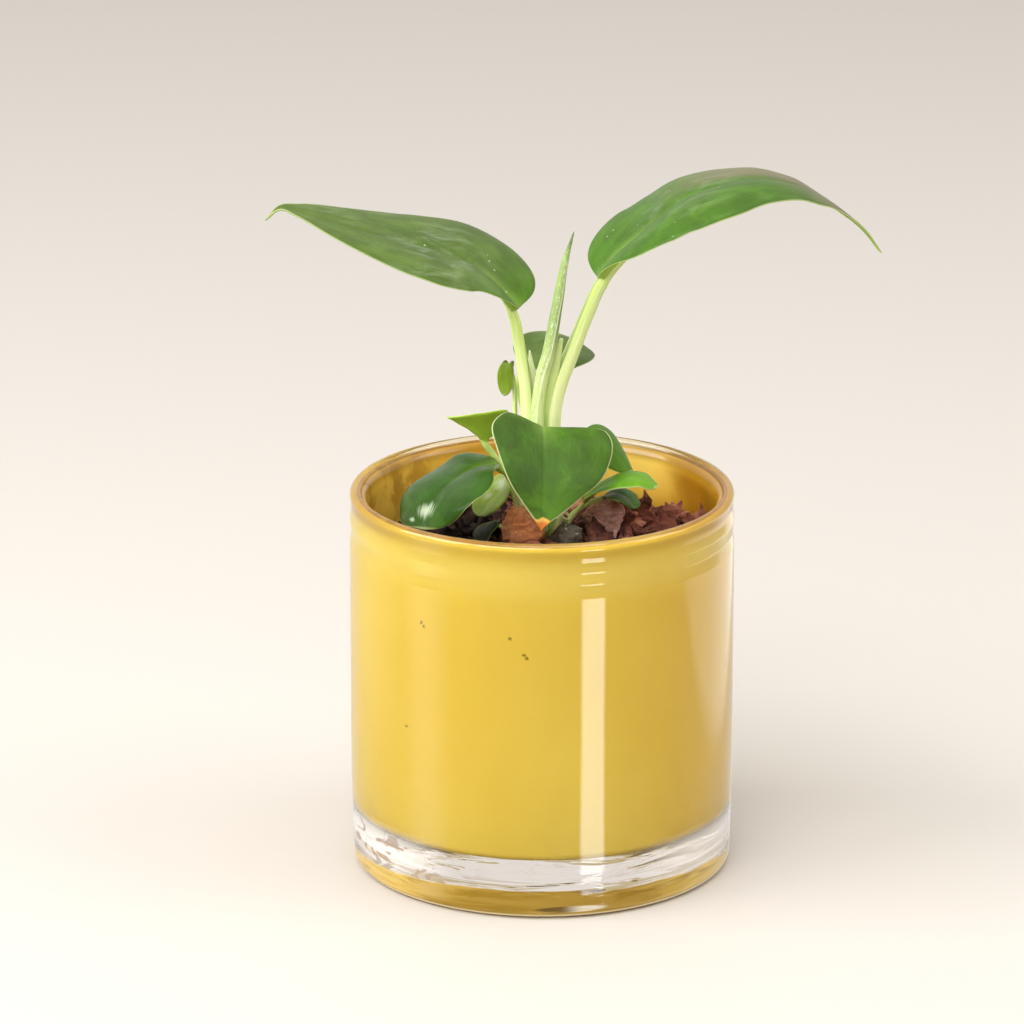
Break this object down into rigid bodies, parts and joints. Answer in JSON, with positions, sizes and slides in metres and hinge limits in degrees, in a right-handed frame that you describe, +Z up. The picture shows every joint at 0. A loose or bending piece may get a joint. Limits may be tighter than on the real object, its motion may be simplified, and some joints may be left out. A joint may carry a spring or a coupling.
{
  "type": "potted foliage plant",
  "caption": "Small aroid house plant with smooth pointed leaves, planted in bark mix in a heavy clear and yellow glass pot.",
  "frame": {"origin": "centre of the pot's round base, on the surface that it stands on", "axes": "+Z up along the pot's axis, -Y towards the side shown in the picture, +X to that side's right"},
  "size_m": [0.1745, 0.11, 0.2],
  "materials": {
    "clear_glass": "polished",
    "yellow_glass": "gloss",
    "growing_medium": "matte",
    "bark": "matte",
    "mossy_bark": "matte",
    "crown": "satin",
    "petiole": "satin",
    "leaf": "satin",
    "young_leaf": "satin"
  },
  "bodies": {
    "root": {"pot_clear_glass": "clear_glass", "pot_yellow_glass_layer": "yellow_glass", "growing_medium": "growing_medium", "bark_chip_01": "bark", "bark_chip_02": "bark", "bark_chip_03": "bark", "bark_chip_04": "bark", "bark_chip_05": "bark", "bark_chip_06": "bark", "bark_chip_07": "bark", "bark_chip_08": "bark", "bark_chip_09": "bark", "bark_chip_10": "bark", "bark_chip_11": "mossy_bark", "bark_chip_12": "bark", "bark_chip_13": "bark", "bark_chip_14": "bark", "bark_chip_15": "bark", "bark_chip_16": "bark", "bark_chip_17": "bark", "bark_chip_18": "bark", "bark_chip_19": "bark", "bark_chip_20": "bark", "bark_chip_21": "bark", "bark_chip_22": "bark", "crown_stem": "crown", "left_leaf_blade": "leaf", "right_leaf_blade": "leaf", "front_leaf_blade": "leaf", "low_left_leaf_blade": "leaf", "hook_leaf_blade": "young_leaf", "shaded_leaf_blade": "leaf", "under_leaf_blade": "young_leaf", "small_leaf_blade": "young_leaf", "back_leaf_blade": "leaf", "mid_right_leaf_blade": "leaf", "low_right_leaf_blade": "leaf", "under_right_leaf_blade": "leaf", "left_leaf_petiole": "petiole", "right_leaf_petiole": "petiole", "front_leaf_petiole": "petiole", "low_left_leaf_petiole": "petiole", "hook_leaf_petiole": "petiole", "shaded_leaf_petiole": "petiole", "under_leaf_petiole": "petiole", "small_leaf_petiole": "petiole", "back_leaf_petiole": "petiole", "mid_right_leaf_petiole": "petiole", "low_right_leaf_petiole": "petiole", "under_right_leaf_petiole": "petiole", "spear_leaf": "young_leaf", "sheath": "petiole", "cut_petiole_stub": "petiole"}
  },
  "joints": []
}
